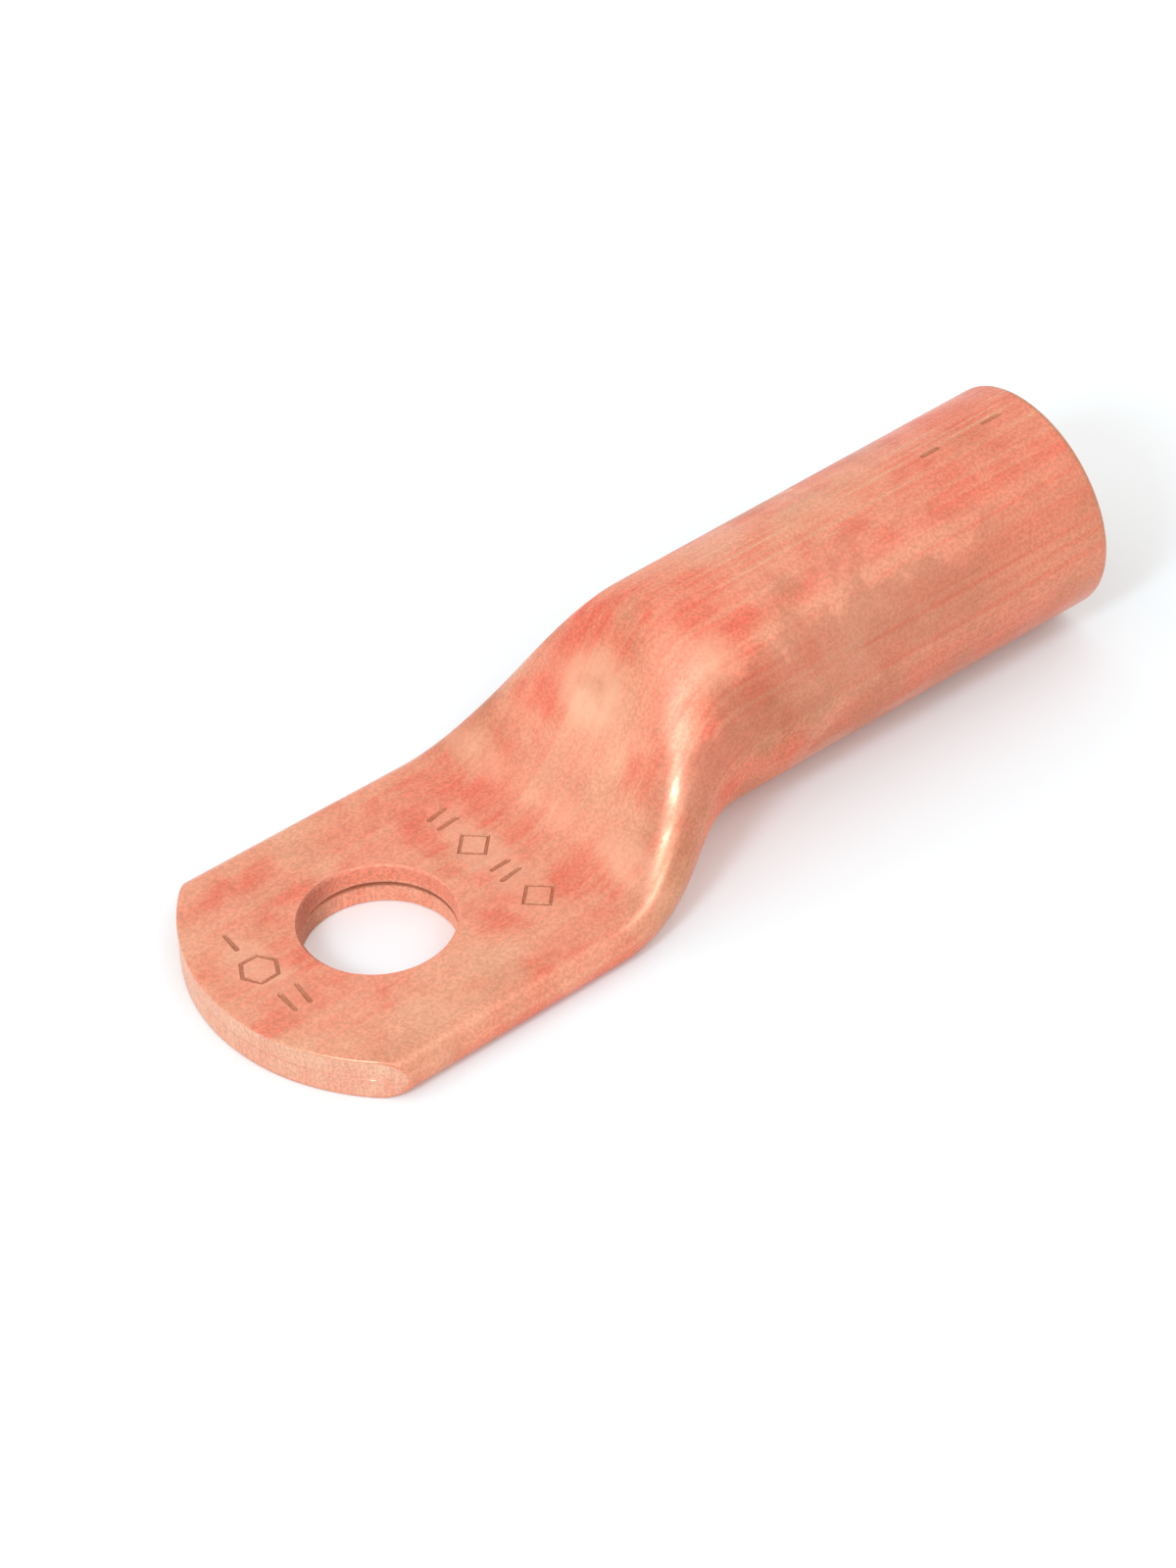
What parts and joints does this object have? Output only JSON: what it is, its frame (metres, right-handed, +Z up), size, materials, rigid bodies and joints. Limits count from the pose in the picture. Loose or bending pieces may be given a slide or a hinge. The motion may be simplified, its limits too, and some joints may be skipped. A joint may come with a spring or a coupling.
{
  "type": "copper cable lug",
  "caption": "Tubular copper cable lug: a round barrel is crimped onto a stripped cable, and a flat drilled palm is bolted to a terminal or busbar.",
  "frame": {"origin": "centre of the stud hole on the underside of the palm, the face that is bolted down", "axes": "+X along the cable barrel, from the palm towards the barrel's mouth; +Z up along the stud, out of the palm's top; +Y across the palm"},
  "size_m": [0.0694, 0.0246, 0.0165],
  "materials": {
    "copper": "bare annealed copper, semi-matte, with faint drawing lines and handling marks"
  },
  "bodies": {
    "root": {"cable_lug": "copper"}
  },
  "joints": []
}
